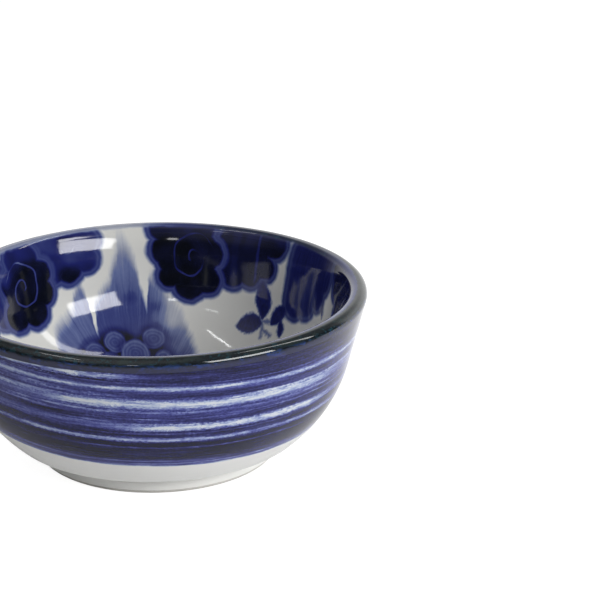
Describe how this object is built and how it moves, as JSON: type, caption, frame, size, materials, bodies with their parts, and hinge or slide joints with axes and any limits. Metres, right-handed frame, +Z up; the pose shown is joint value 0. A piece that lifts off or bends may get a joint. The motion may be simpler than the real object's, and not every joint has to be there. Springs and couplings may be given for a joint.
{
  "type": "sauce dish",
  "caption": "Round porcelain sauce dish on a foot ring, brushed blue outside, painted with clouds inside, with a dark glazed lip.",
  "frame": {"origin": "centre of the circle on which the foot ring stands", "axes": "+Z up along the dish's axis of revolution; -Y faces the viewer of the picture"},
  "size_m": [0.095, 0.095, 0.0388],
  "materials": {
    "porcelain": "matte fired porcelain",
    "bare_porcelain": "matte, unglazed at the contact edge",
    "brushed_blue_glaze": "gloss over brushed cobalt",
    "painted_glaze": "gloss over painted cobalt",
    "dark_glaze": "gloss, dark green-black",
    "clear_glaze": "gloss over white"
  },
  "bodies": {
    "root": {"porcelain_body": "porcelain", "foot_ring": "bare_porcelain", "outer_glaze": "brushed_blue_glaze", "inner_glaze": "painted_glaze", "lip_glaze": "dark_glaze", "base_glaze": "clear_glaze"}
  },
  "joints": []
}
